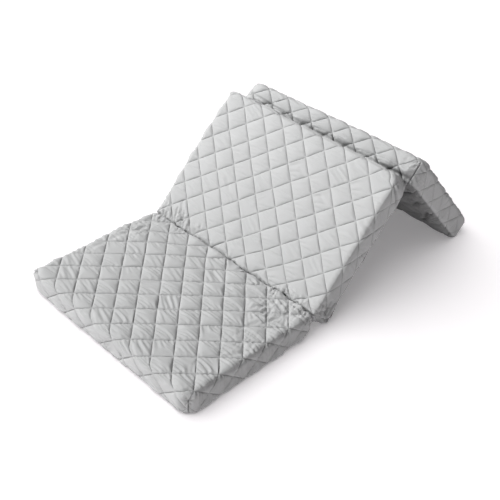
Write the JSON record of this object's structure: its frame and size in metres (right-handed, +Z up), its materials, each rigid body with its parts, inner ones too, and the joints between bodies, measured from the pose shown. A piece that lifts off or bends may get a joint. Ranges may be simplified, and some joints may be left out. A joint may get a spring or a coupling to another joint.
{
  "type": "folding mattress",
  "caption": "Folding travel mattress of quilted padded sections joined by sewn fold strips: one section flat, the others stood up like a tent.",
  "frame": {"origin": "middle of the ground that the part covers, at floor level", "axes": "+Z up; +Y along the mattress, from the flat front section to the raised back section; X across its width"},
  "size_m": [0.6064, 1.0532, 0.337],
  "materials": {
    "quilted_cover": "matt fine woven grey cover with stitched diamond quilting",
    "fold_cloth": "matt grey cover cloth, gathered along the sewn fold"
  },
  "bodies": {
    "root": {"section_front": "quilted_cover", "section_middle": "quilted_cover", "section_back": "quilted_cover", "fold_strip_crease": "fold_cloth", "fold_strip_peak": "fold_cloth"}
  },
  "joints": []
}
